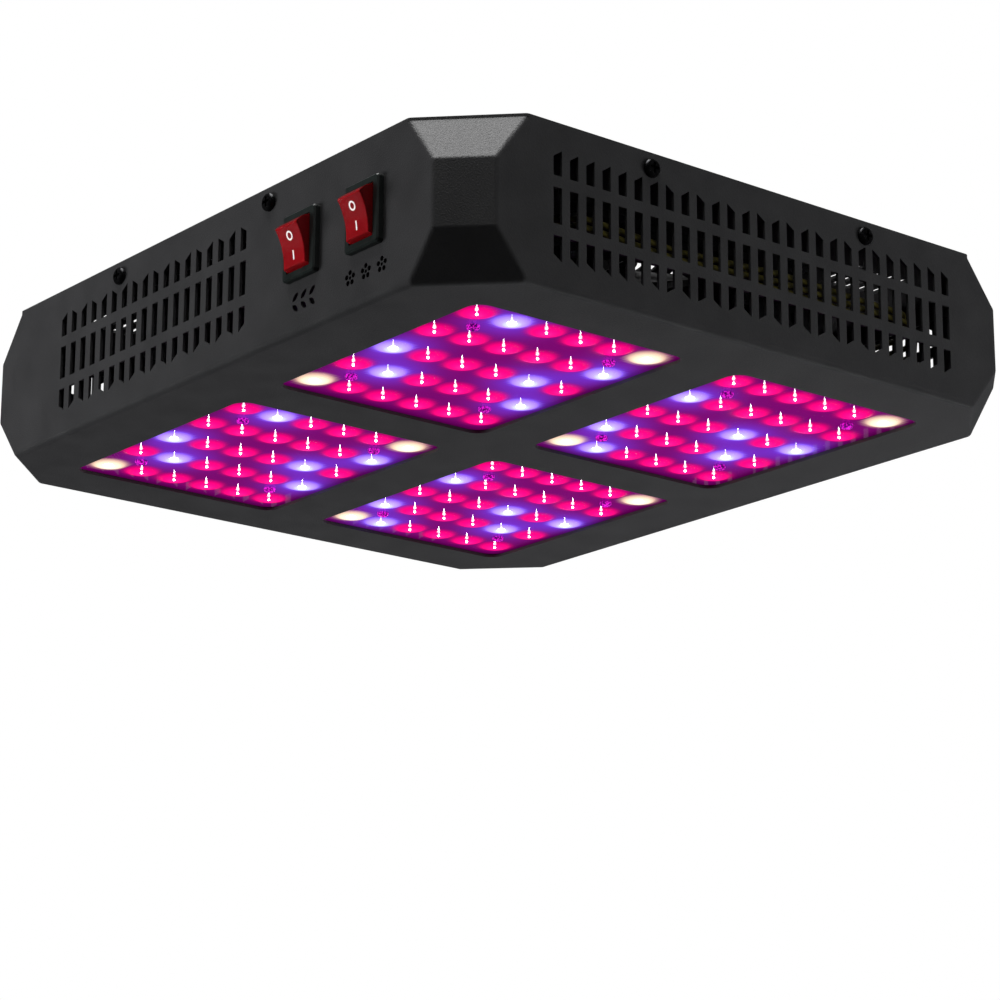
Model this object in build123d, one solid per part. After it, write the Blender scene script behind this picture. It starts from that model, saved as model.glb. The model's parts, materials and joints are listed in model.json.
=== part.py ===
from build123d import *
from math import cos, radians, sin
import os

# LED grow light for a plant tent: a folded steel tray with four lit windows underneath,
# two rocker switches on its front, two fans in its lid, and four hanger brackets on top.
# Millimetres. Origin: middle of the flat underside. +Z up, front (switches) towards -Y.

# ---- overall case ----
width = 310.0
depth = 270.0
height = 60.0
sheet = 1.2
cover_sheet = 1.2
bend_radius = 2.4

# ---- cut corners of the tray: the leg of the 45 degree cut at mid height and at both ends ----
corner_leg_mid = 15.2
corner_leg_end = 28.4
corner_break_low = 16.7
corner_break_drop = 17.5

# ---- light windows in the floor ----
border_x = 26.0
border_y = 28.0
web_x = 22.0
web_y = 24.0
window_corner = 6.0

# ---- seal, lens plate, board and heat sink, stacked upwards from the floor ----
seal_thickness = 0.5
seal_width = 2.0
plate_overlap = 3.0
plate_thickness = 1.5
lens_diameter = 14.4
lens_rise = 1.4
skirt_height = 6.0
skirt_width = 1.2
collimator_taper = 2.0
collimator_rim = 0.6
collimator_gap = 0.3
pocket_clearance = 0.3
emitter_size = 4.6
emitter_height = 1.4
emitter_corner = 0.4
led_margin_x = 4.6
led_margin_y = 1.8
led_pitch_min_x = 20.0
led_pitch_min_y = 15.0
board_thickness = 1.6
sink_base = 3.0
sink_height = 10.6
sink_margin_x = 2.0
sink_margin_y = 10.0
fin_pitch = 9.0
fin_thickness = 1.4
post_across_flats = 5.5
post_from_edge = 3.5
small_screw_radius = 1.25
small_screw_head_radius = 2.4
small_screw_head_height = 1.5
screw_tip_clearance = 0.8
post_floor = 1.5

# ---- side vents: three rows of upright slots, the outer ends cut on a slant ----
slot_width = 3.7
slot_pitch = 7.2
slot_slant = 2.4
vent_bottom_margin = 10.2
vent_top_drop = 8.8
end_row_height = 9.2
row_bar = 4.2
side_vent_margin = 38.9
side_plain_columns = 6
front_vent_left_margin = 60.0
back_vent_margin = 44.0
vent_to_switch = 26.1

# ---- rocker switches on the front ----
switch_from_corner = 51.4
switch_spacing = 36.7
switch_rise = 2.5
bezel_lip_x = 1.2
bezel_lip_y = 1.1
bezel_depth = 2.5
bezel_corner = 1.2
edge_chamfer = 0.6
body_wall = 1.5
body_depth = 17.0
latch_reach = 1.0
latch_width = 6.0
latch_length = 3.0
cap_width = 12.8
cap_radius = 9.3
cap_corner_angle = 50.0
cap_face_dip = 1.1
cap_tail = 2.0
cap_clearance = 0.4
cap_edge = 0.5
cap_tail_clearance = 1.0
pivot_below_bezel = 2.3
pivot_radius = 1.4
pivot_length = 1.1
running_clearance = 0.05
rocker_swing = 16.0
cutout_clearance = 0.2
terminal_width = 4.8
terminal_thickness = 0.8
terminal_length = 8.0
terminal_pitch = 6.5

# ---- punched pictograms under the switches ----
sign_drop = 7.8
leaf_length = 4.4
leaf_width = 2.0
leaf_pairs = 3
leaf_pitch = 5.0
leaf_angle = 40.0
leaf_gap = 0.6
petal_count = 5
petal_radius = 0.95
petal_circle = 2.0
flower_centre_radius = 0.66
flower_count = 3
flower_pitch = 9.0

# ---- mains inlet and linking outlet on the back ----
inlet_from_corner = 56.0
connector_spacing = 38.0
socket_width = 24.4
socket_height = 16.4
socket_depth = 15.0
connector_wall = 1.5
connector_depth = 19.0
flange_lip = 2.1
flange_depth = 2.5
flange_corner = 2.0
connector_latch_width = 7.0
connector_latch_length = 4.0
pin_width = 2.0
pin_height = 4.0
pin_spacing = 7.0
pin_offset = 2.0
pin_length = 13.0
pin_tail = 6.0
moat_width = 2.1
contact_slot = 2.6
contact_slot_height = 5.0
contact_clearance = 0.2
contact_wall = 0.5
contact_drop = 6.0
contact_gap_depth = 8.0

# ---- cooling fans ----
fan_size = 92.0
fan_thickness = 15.0
fan_from_middle = 60.0
fan_duct_wall = 1.8
fan_corner = 5.0
fan_hole_inset = 4.75
fan_hole_radius = 2.2
fan_ear_thickness = 3.0
hub_radius = 17.0
hub_wall = 1.6
blade_tip_clearance = 1.2
blade_count = 7
blade_thickness = 1.5
blade_chord = 19.0
blade_root_tilt = 36.0
blade_tip_tilt = 22.0
rotor_clearance = 0.8
fan_shaft_radius = 1.5
bearing_radius = 4.0
motor_plate_radius = 19.0
motor_plate = 2.2
strut_width = 4.0
strut_count = 4
strut_turn = 30.0
shaft_seat = 0.8
shaft_end_gap = 0.4

# ---- stamped ring grille over each fan ----
ring_first = 10.5
ring_pitch = 5.0
ring_slot = 2.6
ring_rib = 3.4

# ---- cover ----
flange_drop = 8.0
flange_inset = 6.0
cover_vent_slots = 5
cover_vent_pitch = 6.0
cover_vent_length = 22.0
cover_vent_width = 3.0
cover_vent_from_side = 43.0
cover_vent_from_front = 28.0

# ---- screws through the tray's sides into the cover flanges ----
side_screw_drop = 4.8
side_screw_offset = 51.8
front_screw_left = 53.0
front_screw_right = 45.6
side_screw_radius = 1.75
side_screw_length = 7.0
side_head_radius = 3.4
side_head_height = 2.0

# ---- hanger brackets ----
hanger_from_side = 44.0
hanger_from_middle = 62.0
hanger_foot_length = 16.0
hanger_width = 13.0
hanger_sheet = 2.0
hanger_eye_radius = 3.5
hanger_eye_height = 8.5
hanger_bend = 1.8
m4_radius = 2.0
m4_head_radius = 3.8
m4_head_height = 2.4
m4_nut_flats = 7.0
m4_nut_height = 3.0
hole_clearance = 0.2

# ---- drivers, hung from the cover ----
driver_length = 110.0
driver_depth = 44.0
driver_height = 22.0
driver_wall = 1.5
driver_lid = 2.0
driver_ear = 9.0
driver_shift = 25.0
driver_corner = 3.0
cable_hole_radius = 3.0
cable_hole_drop = 6.0
board_clearance = 0.5
driver_board_rise = 3.0
driver_board_thickness = 1.6
board_foot_radius = 2.0
transformer_size = (24.0, 22.0, 12.0)
big_capacitor = (6.5, 11.0)
small_capacitor = (5.0, 10.0)
choke_size = (10.0, 8.0, 9.0)
m3_radius = 1.5
m3_head_radius = 2.8
m3_head_height = 1.8

# ---- wiring ----
wire_radius = 1.1
wire_spacing = 3.0
wire_below_driver = 6.3
wire_bend = 6.0
wire_from_wall = 4.0
wire_from_contact = 1.0
wire_lane = 8.0
wire_corner = 20.0
wire_sag = 2.0

# ---- worked out from the sizes above ----
rim = height - cover_sheet
body_width = cap_width + 2 * (cap_clearance + body_wall)
body_height = 2 * (cap_radius + cap_clearance + body_wall)
bezel_width = body_width + 2 * bezel_lip_x
bezel_height = body_height + 2 * bezel_lip_y
connector_width = socket_width + 2 * connector_wall
connector_height = socket_height + 2 * connector_wall
flange_width = connector_width + 2 * flange_lip
flange_height = connector_height + 2 * flange_lip
fan_hole_spacing = fan_size - 2 * fan_hole_inset
window_width = width / 2 - border_x - web_x / 2
window_depth = depth / 2 - border_y - web_y / 2
window_x = (window_width + web_x) / 2
window_y = (window_depth + web_y) / 2
plate_bottom = sheet + seal_thickness
plate_top = plate_bottom + plate_thickness
board_bottom = plate_top + skirt_height
plate_width = window_width + 2 * plate_overlap
plate_depth = window_depth + 2 * plate_overlap
plate_corner = window_corner + plate_overlap
sink_bottom = board_bottom + board_thickness
sink_floor = sink_bottom + sink_base
fan_bottom = rim - fan_thickness
rotor_bottom = fan_bottom + motor_plate + rotor_clearance
rotor_top = rim - rotor_clearance
driver_top = rim - driver_lid
driver_bottom = driver_top - driver_height
wire_level = driver_bottom - wire_below_driver
pivot_inset = pivot_below_bezel - bezel_depth
switch_level = rim / 2 + switch_rise
cover_leg = corner_leg_end
corners = [(1, -1), (1, 1), (-1, -1), (-1, 1)]

front_face = Plane(origin=(0, -depth / 2, 0), x_dir=(1, 0, 0), z_dir=(0, -1, 0))
right_face = Plane(origin=(width / 2, 0, 0), x_dir=(0, 1, 0), z_dir=(1, 0, 0))
back_face = Plane(origin=(0, depth / 2, 0), x_dir=(-1, 0, 0), z_dir=(0, 1, 0))
left_face = Plane(origin=(-width / 2, 0, 0), x_dir=(0, -1, 0), z_dir=(-1, 0, 0))


def block(x_size, y_size, z_low, z_high):
    """A box centred on the Z axis between two heights."""
    base = (Align.CENTER, Align.CENTER, Align.MIN)
    return Pos(0, 0, z_low) * Box(x_size, y_size, z_high - z_low, align=base)


def rod(radius, z_low, z_high):
    """A cylinder on the Z axis between two heights."""
    base = (Align.CENTER, Align.CENTER, Align.MIN)
    return Pos(0, 0, z_low) * Cylinder(radius, z_high - z_low, align=base)


def rounded_plate(x_size, y_size, corner, z_low, z_high):
    """A plate with rounded corners between two heights."""
    return Pos(0, 0, z_low) * extrude(RectangleRounded(x_size, y_size, corner), z_high - z_low)


def hexagon(across_flats, z_low, z_high):
    """A hexagonal prism on the Z axis."""
    return Pos(0, 0, z_low) * extrude(RegularPolygon(across_flats / 2, 6, major_radius=False), z_high - z_low)


def pan_screw(radius, length, head_radius, head_height):
    """A pan-head screw with a cross recess: the head stands on z = 0 and the shank points down."""
    head = rod(head_radius, 0, head_height)
    head = fillet(head.edges().sort_by(Axis.Z)[-1], head_height * 0.7)
    recess_length = head_radius * 1.15
    recess_width = head_radius * 0.3
    recess_floor = head_height * 0.4
    recess = block(recess_length, recess_width, recess_floor, head_height + 1)
    recess += block(recess_width, recess_length, recess_floor, head_height + 1)
    return head - recess + rod(radius, -length, 0)


def hex_nut(across_flats, nut_height, hole_radius):
    """A nut whose top face is on z = 0."""
    return hexagon(across_flats, -nut_height, 0) - rod(hole_radius, -nut_height, 0)


def cut_corner_outline(inset, leg):
    """The plan outline: a rectangle with its corners cut at 45 degrees."""
    half_x = width / 2 - inset
    half_y = depth / 2 - inset
    cut = leg - inset * (2 - 2 ** 0.5)
    points = []
    for x_side, y_side in [(1, -1), (1, 1), (-1, 1), (-1, -1)]:
        near_x = (x_side * (half_x - cut), y_side * half_y)
        near_y = (x_side * half_x, y_side * (half_y - cut))
        points += [near_x, near_y] if x_side * y_side < 0 else [near_y, near_x]
    return Polygon(*points, align=None)


def tray_block(inset, top):
    """The solid outside (or inside) form of the tray, with its corner facets."""
    levels = [
        (0, corner_leg_end),
        (corner_break_low, corner_leg_mid),
        (rim - corner_break_drop, corner_leg_mid),
        (rim, corner_leg_end),
    ]
    sections = [Pos(0, 0, z) * cut_corner_outline(inset, leg) for z, leg in levels]
    form = Part()
    for low, high in zip(sections, sections[1:]):
        form += loft([low, high], ruled=True)
    form = form.clean()
    top_edges = form.edges().filter_by_position(Axis.Z, rim - 0.01, rim + 0.01)
    form = fillet(form.edges() - top_edges, max(bend_radius - inset, sheet / 4))
    return form & block(width, depth, inset, top)


def slot_face(left, low, high, slant_low, slant_high):
    """One vent slot's outline. A slant of +1 makes its right side longer at that end, -1 its left."""
    right = left + slot_width
    points = [
        (left, low + (slot_slant if slant_low > 0 else 0)),
        (right, low + (slot_slant if slant_low < 0 else 0)),
        (right, high - (slot_slant if slant_high < 0 else 0)),
        (left, high - (slot_slant if slant_high > 0 else 0)),
    ]
    return Polygon(*points, align=None)


def vent_slots(face, start, end, plain_columns):
    """Three rows of slots between two distances along a face.

    The slants rise towards the middle in the plain end columns and alternate between them.
    """
    count = int((end - start - slot_width) / slot_pitch + 0.001) + 1
    first = (start + end - (count - 1) * slot_pitch - slot_width) / 2
    low = vent_bottom_margin
    high = rim - vent_top_drop
    cutters = []
    for column in range(count):
        left = first + column * slot_pitch
        if column < plain_columns:
            slant = 1
        elif column >= count - plain_columns:
            slant = -1
        else:
            slant = 1 if (column - plain_columns) % 2 == 0 else -1
        rows = [
            (low, low + end_row_height, slant, 0),
            (low + end_row_height + row_bar, high - end_row_height - row_bar, 0, 0),
            (high - end_row_height, high, 0, slant),
        ]
        for z_low, z_high, slant_low, slant_high in rows:
            outline = slot_face(left, z_low, z_high, slant_low, slant_high)
            cutters.append(extrude(face * outline, sheet * 2, both=True))
    return cutters


def window_centres():
    """Middles of the four windows."""
    return [(x_side * window_x, y_side * window_y) for x_side, y_side in corners]


def switch_positions():
    """Distances of the two switches from the middle of the front."""
    right = width / 2 - switch_from_corner
    return [right - switch_spacing, right]


def leaf(angle):
    """A pointed leaf hole growing from the origin."""
    bulge = leaf_width / 2
    upper = ThreePointArc((0, 0), (leaf_length / 2, bulge), (leaf_length, 0))
    lower = ThreePointArc((leaf_length, 0), (leaf_length / 2, -bulge), (0, 0))
    return Rot(0, 0, angle) * make_face(upper + lower)


def leaf_sign(centre):
    """Pairs of leaves along a sprig: the growth switch's pictogram."""
    holes = []
    for pair in range(leaf_pairs):
        along = centre + (pair - (leaf_pairs - 1) / 2) * leaf_pitch
        for side in (1, -1):
            root = (along - leaf_length / 4, switch_level - bezel_height / 2 - sign_drop + side * leaf_gap)
            holes.append(Pos(*root) * leaf(side * leaf_angle))
    return holes


def flower_sign(centre):
    """A row of five-petalled flowers: the flowering switch's pictogram."""
    holes = []
    for flower in range(flower_count):
        along = centre + (flower - (flower_count - 1) / 2) * flower_pitch
        middle = Pos(along, switch_level - bezel_height / 2 - sign_drop)
        for petal in range(petal_count):
            turn = radians(90 + 360 / petal_count * petal)
            place = Pos(petal_circle * cos(turn), petal_circle * sin(turn))
            holes.append(middle * place * Circle(petal_radius))
        holes.append(middle * Circle(flower_centre_radius))
    return holes


def front_cutters():
    """Everything punched through the front wall."""
    first_switch, second_switch = switch_positions()
    vent_end = first_switch - bezel_width / 2 - vent_to_switch
    cutters = vent_slots(front_face, -width / 2 + front_vent_left_margin, vent_end, 0)
    opening = Rectangle(body_width + 2 * cutout_clearance, body_height + 2 * cutout_clearance)
    outlines = [Pos(place, switch_level) * opening for place in switch_positions()]
    outlines += leaf_sign(first_switch)
    outlines += flower_sign(second_switch)
    cutters += [extrude(front_face * outline, sheet * 2, both=True) for outline in outlines]
    return cutters


def connector_positions():
    """Distances of inlet and outlet along the back face, seen from behind."""
    inlet = width / 2 - inlet_from_corner
    return [inlet, inlet - connector_spacing]


def back_cutters():
    """Everything punched through the back wall."""
    end = connector_positions()[1] - flange_width / 2 - slot_pitch
    cutters = vent_slots(back_face, -width / 2 + back_vent_margin, end, 0)
    opening = Rectangle(connector_width + 2 * cutout_clearance, connector_height + 2 * cutout_clearance)
    for place in connector_positions():
        cutters.append(extrude(back_face * Pos(place, switch_level) * opening, sheet * 2, both=True))
    return cutters


def side_screw_sites():
    """Each side screw's face and its distance along that face."""
    level = rim - side_screw_drop
    sites = [(face, place, level) for face in (right_face, left_face) for place in (-1, 1)]
    sites = [(face, side * side_screw_offset, z) for face, side, z in sites]
    for face in (front_face, back_face):
        sites.append((face, -front_screw_left, level))
        sites.append((face, front_screw_right, level))
    return sites


def housing():
    """The folded tray: floor with four windows, vented walls and cut corners."""
    tray = tray_block(0, rim) - tray_block(sheet, rim + 1)
    cutters = []
    for x, y in window_centres():
        cutters.append(Pos(x, y, 0) * rounded_plate(window_width, window_depth, window_corner, -1, sheet * 2))
    side_start = -depth / 2 + side_vent_margin
    for face in (right_face, left_face):
        cutters += vent_slots(face, side_start, -side_start, side_plain_columns)
    cutters += front_cutters()
    cutters += back_cutters()
    for face, place, level in side_screw_sites():
        hole = Circle(side_screw_radius + hole_clearance)
        cutters.append(extrude(face * Pos(place, level) * hole, sheet * 2, both=True))
    return tray - cutters


def ring_slots():
    """The stamped ring grille's slots, about the Z axis."""
    count = int((fan_size / 2 - fan_duct_wall - ring_first) / ring_pitch)
    cutter = Part()
    for ring in range(count):
        middle = ring_first + ring * ring_pitch
        band = rod(middle + ring_slot / 2, rim - 1, height + 1)
        cutter += band - rod(middle - ring_slot / 2, rim - 1, height + 1)
    ribs = Rot(0, 0, 45) * block(fan_size, ring_rib, rim - 1, height + 1)
    ribs += Rot(0, 0, -45) * block(fan_size, ring_rib, rim - 1, height + 1)
    return cutter - ribs


def fan_centres():
    """Middles of the two fans."""
    return [(-fan_from_middle, 0), (fan_from_middle, 0)]


def fan_hole_sites():
    """Middles of the fans' corner holes."""
    reach = fan_hole_spacing / 2
    return [(x + a * reach, y + b * reach) for x, y in fan_centres() for a, b in corners]


def hanger_sites():
    """Middles of the hanger screws, each with the way its eye faces."""
    return [(a * (width / 2 - hanger_from_side), b * hanger_from_middle, a) for a, b in corners]


def driver_sites():
    """Middles of the drivers: midway between fans and long walls, clear of switches and inlet."""
    reach = (fan_size / 2 + depth / 2 - sheet) / 2
    return [(-driver_shift, -reach), (driver_shift, reach)]


def driver_screw_sites():
    """Middles of the screws in the drivers' ears."""
    reach = driver_length / 2 + driver_ear / 2
    return [(x + side * reach, y) for x, y in driver_sites() for side in (-1, 1)]


def cover_holes():
    """Round holes and air slots through the cover."""
    cutters = []
    for x, y in fan_centres():
        cutters.append(Pos(x, y, 0) * ring_slots())
    for x, y in fan_hole_sites():
        cutters.append(Pos(x, y, 0) * rod(m4_radius + hole_clearance, rim - 1, height + 1))
    for x, y, side in hanger_sites():
        cutters.append(Pos(x, y, 0) * rod(m4_radius + hole_clearance, rim - 1, height + 1))
    for x, y in driver_screw_sites():
        cutters.append(Pos(x, y, 0) * rod(m3_radius + hole_clearance, rim - 1, height + 1))
    slot = SlotOverall(cover_vent_length, cover_vent_width)
    for x_side, y_side in corners:
        for number in range(cover_vent_slots):
            x = x_side * (width / 2 - cover_vent_from_side)
            y = y_side * (depth / 2 - cover_vent_from_front - number * cover_vent_pitch)
            cutters.append(Pos(x, y, rim - 1) * extrude(slot, cover_sheet + 2))
    return cutters


def top_cover():
    """The flat lid with a flange folded down inside each wall."""
    lid = Pos(0, 0, rim) * extrude(cut_corner_outline(0, cover_leg), cover_sheet)
    lid = fillet(lid.edges().filter_by(Axis.Z), bend_radius)
    length_x = width - 2 * (cover_leg + flange_inset)
    length_y = depth - 2 * (cover_leg + flange_inset)
    for side in (-1, 1):
        middle = side * (depth / 2 - sheet * 1.5 - hole_clearance / 4)
        lid += Pos(0, middle, 0) * block(length_x, sheet, rim - flange_drop, rim)
        middle = side * (width / 2 - sheet * 1.5 - hole_clearance / 4)
        lid += Pos(middle, 0, 0) * block(sheet, length_y, rim - flange_drop, rim)
    holes = [
        extrude(face * Pos(place, level) * Circle(side_screw_radius + hole_clearance), sheet * 4, both=True)
        for face, place, level in side_screw_sites()
    ]
    return lid - cover_holes() - holes


def cover_screws():
    """The black screws round the case."""
    screw = pan_screw(side_screw_radius, side_screw_length, side_head_radius, side_head_height)
    return [face * Pos(place, level) * screw for face, place, level in side_screw_sites()]


def hanger_bracket(x, y, side):
    """An L of steel strip: foot on the cover, eye tab on its inner end."""
    half = hanger_foot_length / 2
    foot = block(hanger_foot_length, hanger_width, height, height + hanger_sheet)
    tab_profile = Pos(0, hanger_eye_height / 2) * Rectangle(hanger_width, hanger_eye_height)
    tab_profile += Pos(0, hanger_eye_height) * Circle(hanger_width / 2)
    tab_profile -= Pos(0, hanger_eye_height) * Circle(hanger_eye_radius)
    upright = Plane(origin=(half - hanger_sheet, 0, height), x_dir=(0, 1, 0), z_dir=(1, 0, 0))
    bracket = foot + extrude(upright * tab_profile, hanger_sheet)
    bracket -= rod(m4_radius + hole_clearance, height - 1, height + hanger_sheet + 1)
    outer_bend = bracket.edges().filter_by(Axis.Y).filter_by_position(Axis.X, half - 0.01, half + 0.01)
    bracket = fillet(outer_bend.sort_by(Axis.Z)[0], min(hanger_bend, hanger_sheet * 0.9))
    return Pos(x, y, 0) * Rot(0, 0, 180 if side > 0 else 0) * bracket


def hanger_screws():
    """Screws that hold the hanger brackets."""
    length = hanger_sheet + cover_sheet + m4_nut_height + 1
    screw = pan_screw(m4_radius, length, m4_head_radius, m4_head_height)
    return [Pos(x, y, height + hanger_sheet) * screw for x, y, side in hanger_sites()]


def hanger_nuts():
    """Nuts under the cover for the hanger screws."""
    nut = hex_nut(m4_nut_flats, m4_nut_height, m4_radius + running_clearance)
    return [Pos(x, y, rim) * nut for x, y, side in hanger_sites()]


def lens_seal(x, y):
    """A thin gasket between the tray's floor and a lens plate."""
    ring = rounded_plate(plate_width, plate_depth, plate_corner, sheet, plate_bottom)
    inner_x = plate_width - 2 * seal_width
    inner_y = plate_depth - 2 * seal_width
    return Pos(x, y, 0) * (ring - rounded_plate(inner_x, inner_y, plate_corner - seal_width, 0, height))


def led_columns():
    """Distances of the LED columns from the module's middle."""
    span = window_width - lens_diameter - 2 * led_margin_x
    count = int(span / led_pitch_min_x) + 1
    return [span * (number / (count - 1) - 0.5) for number in range(count)]


def led_rows():
    """Distances of the LED rows from the module's middle."""
    span = window_depth - lens_diameter - 2 * led_margin_y
    count = int(span / led_pitch_min_y) + 1
    return [span * (number / (count - 1) - 0.5) for number in range(count)]


def board_screw_sites():
    """Middles of a board's four screws, between the outer LEDs."""
    columns = led_columns()
    rows = led_rows()
    x = (columns[-1] + columns[-2]) / 2
    y = (rows[-1] + rows[-2]) / 2
    return [(a * x, b * y) for a, b in corners]


def led_board(x, y):
    """The aluminium-core circuit board that carries one module's emitters."""
    board = rounded_plate(plate_width, plate_depth, plate_corner, board_bottom, sink_bottom)
    for a, b in board_screw_sites():
        board -= Pos(a, b, 0) * rod(small_screw_radius + hole_clearance, 0, height)
    return Pos(x, y, 0) * board


def emitter():
    """One LED package with its small square window."""
    package = block(emitter_size, emitter_size, board_bottom - emitter_height, board_bottom)
    rim_edges = package.edges().filter_by(Axis.Z)
    return chamfer(rim_edges, emitter_corner)


def lens():
    """One lens of the plate: a low dome that bulges down, and a collimator cone up to the emitter."""
    radius = lens_diameter / 2
    ball = (radius ** 2 + lens_rise ** 2) / (2 * lens_rise)
    tip = plate_bottom - lens_rise
    dome = Pos(0, 0, tip + ball) * Sphere(ball) & rod(radius, tip, plate_bottom + plate_thickness / 2)
    wide = radius - collimator_rim
    tall = skirt_height - collimator_gap
    base = (Align.CENTER, Align.CENTER, Align.MIN)
    body = dome + Pos(0, 0, plate_top) * Cone(wide, wide - collimator_taper, tall, align=base)
    pocket_radius = emitter_size / 2 * 2 ** 0.5 + pocket_clearance
    pocket_floor = board_bottom - emitter_height - pocket_clearance
    return body - rod(pocket_radius, pocket_floor, board_bottom)


def lens_plate(x, y):
    """A clear moulded plate with a lens at every emitter and a skirt that spaces it from the board."""
    plate = rounded_plate(plate_width, plate_depth, plate_corner, plate_bottom, board_bottom)
    inner_x = plate_width - 2 * skirt_width
    inner_y = plate_depth - 2 * skirt_width
    plate -= rounded_plate(inner_x, inner_y, plate_corner - skirt_width, plate_top, height)
    plate += module_copies(lens(), 0, 0)
    for a, b in board_screw_sites():
        plate -= Pos(a, b, 0) * rod(small_screw_radius + hole_clearance, 0, height)
    return Pos(x, y, 0) * plate


def module_copies(piece, x, y):
    """One copy of a piece at every LED of a module."""
    return [Pos(x + a, y + b, 0) * piece for b in led_rows() for a in led_columns()]


def fin_offsets():
    """Distances of the heat-sink fins from its middle."""
    half = window_width / 2 + sink_margin_x
    pairs = int((half - fin_thickness / 2 - fin_pitch / 2) / fin_pitch) + 1
    positive = [(number + 0.5) * fin_pitch for number in range(pairs)]
    return [-offset for offset in positive] + positive


def post_sites():
    """Middles of a heat sink's four posts, each between two fins."""
    x = max(fin_offsets()) - 1.5 * fin_pitch
    y = window_depth / 2 + sink_margin_y - post_from_edge
    return [(a * x, b * y) for a, b in corners]


def heat_sink(x, y):
    """An extruded aluminium sink with straight fins."""
    size_x = window_width + 2 * sink_margin_x
    size_y = window_depth + 2 * sink_margin_y
    sink = block(size_x, size_y, sink_bottom, sink_floor)
    for offset in fin_offsets():
        sink += Pos(offset, 0, 0) * block(fin_thickness, size_y, sink_floor, sink_bottom + sink_height)
    for a, b in post_sites():
        sink -= Pos(a, b, 0) * rod(small_screw_radius + hole_clearance, 0, height)
    for a, b in board_screw_sites():
        sink -= Pos(a, b, 0) * rod(small_screw_radius + running_clearance, 0, sink_floor)
    return Pos(x, y, 0) * sink


def heat_sink_posts():
    """Tapped hexagon posts that carry the heat sinks on the tray floor."""
    post = hexagon(post_across_flats, sheet, sink_bottom)
    post -= rod(small_screw_radius + running_clearance, sheet + post_floor, sink_bottom)
    return [Pos(x + a, y + b, 0) * post for x, y in window_centres() for a, b in post_sites()]


def heat_sink_screws():
    """Screws down through the heat sinks into the posts."""
    length = sink_floor - sheet - post_floor - screw_tip_clearance
    screw = pan_screw(small_screw_radius, length, small_screw_head_radius, small_screw_head_height)
    return [Pos(x + a, y + b, sink_floor) * screw for x, y in window_centres() for a, b in post_sites()]


def board_screws():
    """Screws up through the lens plates and boards into the heat sinks."""
    length = sink_floor - plate_bottom - screw_tip_clearance
    screw = pan_screw(small_screw_radius, length, small_screw_head_radius, small_screw_head_height)
    screw = Pos(0, 0, plate_bottom) * Rot(180, 0, 0) * screw
    return [Pos(x + a, y + b, 0) * screw for x, y in window_centres() for a, b in board_screw_sites()]


def fan_frame(x, y):
    """A slim square fan frame: round duct, corner ears, motor plate and four struts."""
    bore = fan_size / 2 - fan_duct_wall
    frame = rounded_plate(fan_size, fan_size, fan_corner, fan_bottom, fan_bottom + fan_ear_thickness)
    frame += rounded_plate(fan_size, fan_size, fan_corner, rim - fan_ear_thickness, rim)
    frame += rod(fan_size / 2, fan_bottom, rim)
    frame -= rod(bore, fan_bottom - 1, rim + 1)
    struts = Part()
    for number in range(strut_count):
        arm = block(bore, strut_width, fan_bottom, fan_bottom + motor_plate)
        arm = Pos((bore + fan_duct_wall) / 2, 0, 0) * arm
        struts += Rot(0, 0, strut_turn + 360 / strut_count * number) * arm
    frame += struts & rod(bore + fan_duct_wall / 2, fan_bottom, rim)
    frame += rod(motor_plate_radius, fan_bottom, fan_bottom + motor_plate)
    frame += rod(bearing_radius, fan_bottom, rotor_top - hub_wall - rotor_clearance)
    frame -= rod(fan_shaft_radius + running_clearance, fan_bottom + shaft_seat, rim)
    for a, b in corners:
        reach = fan_hole_spacing / 2
        frame -= Pos(a * reach, b * reach, 0) * rod(fan_hole_radius, 0, height)
    return Pos(x, y, 0) * frame


def fan_blade():
    """One blade, pitched about its own length and trimmed to the tip circle."""
    tip = fan_size / 2 - fan_duct_wall - blade_tip_clearance
    middle = (rotor_bottom + rotor_top) / 2
    section = Rectangle(blade_chord, blade_thickness)
    root = Plane(origin=(hub_radius - 2, 0, middle), x_dir=(0, 1, 0), z_dir=(1, 0, 0))
    end = Plane(origin=(tip + 2, 0, middle), x_dir=(0, 1, 0), z_dir=(1, 0, 0))
    blade = loft([root * Rot(0, 0, blade_root_tilt) * section, end * Rot(0, 0, blade_tip_tilt) * section])
    ring = rod(tip, rotor_bottom, rotor_top) - rod(hub_radius - hub_wall / 2, rotor_bottom, rotor_top)
    return blade & ring


def fan_rotor(x, y):
    """Hub cup, shaft and blades in one moulding."""
    rotor = rod(hub_radius, rotor_bottom, rotor_top)
    rotor -= rod(hub_radius - hub_wall, rotor_bottom - 1, rotor_top - hub_wall)
    rotor += rod(fan_shaft_radius, fan_bottom + shaft_seat + shaft_end_gap, rotor_top - hub_wall / 2)
    blade = fan_blade()
    for number in range(blade_count):
        rotor += Rot(0, 0, 360 / blade_count * number) * blade
    rotor = rotor.clean()
    return Pos(x, y, 0) * rotor


def fan_screws():
    """Screws through the cover and the fan frames."""
    length = cover_sheet + fan_thickness + m4_nut_height + 1
    screw = pan_screw(m4_radius, length, m4_head_radius, m4_head_height)
    return [Pos(x, y, height) * screw for x, y in fan_hole_sites()]


def fan_nuts():
    """Nuts under the fan frames."""
    nut = hex_nut(m4_nut_flats, m4_nut_height, m4_radius + running_clearance)
    return [Pos(x, y, fan_bottom) * nut for x, y in fan_hole_sites()]


def driver_lid_plate(x, y):
    """The driver's flat lid, whose ears screw to the cover."""
    length = driver_length + 2 * driver_ear
    lid = rounded_plate(length, driver_depth, driver_corner, driver_top, rim)
    for side in (-1, 1):
        ear = side * (driver_length / 2 + driver_ear / 2)
        lid -= Pos(ear, 0, 0) * rod(m3_radius + running_clearance, 0, height)
    return Pos(x, y, 0) * lid


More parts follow.
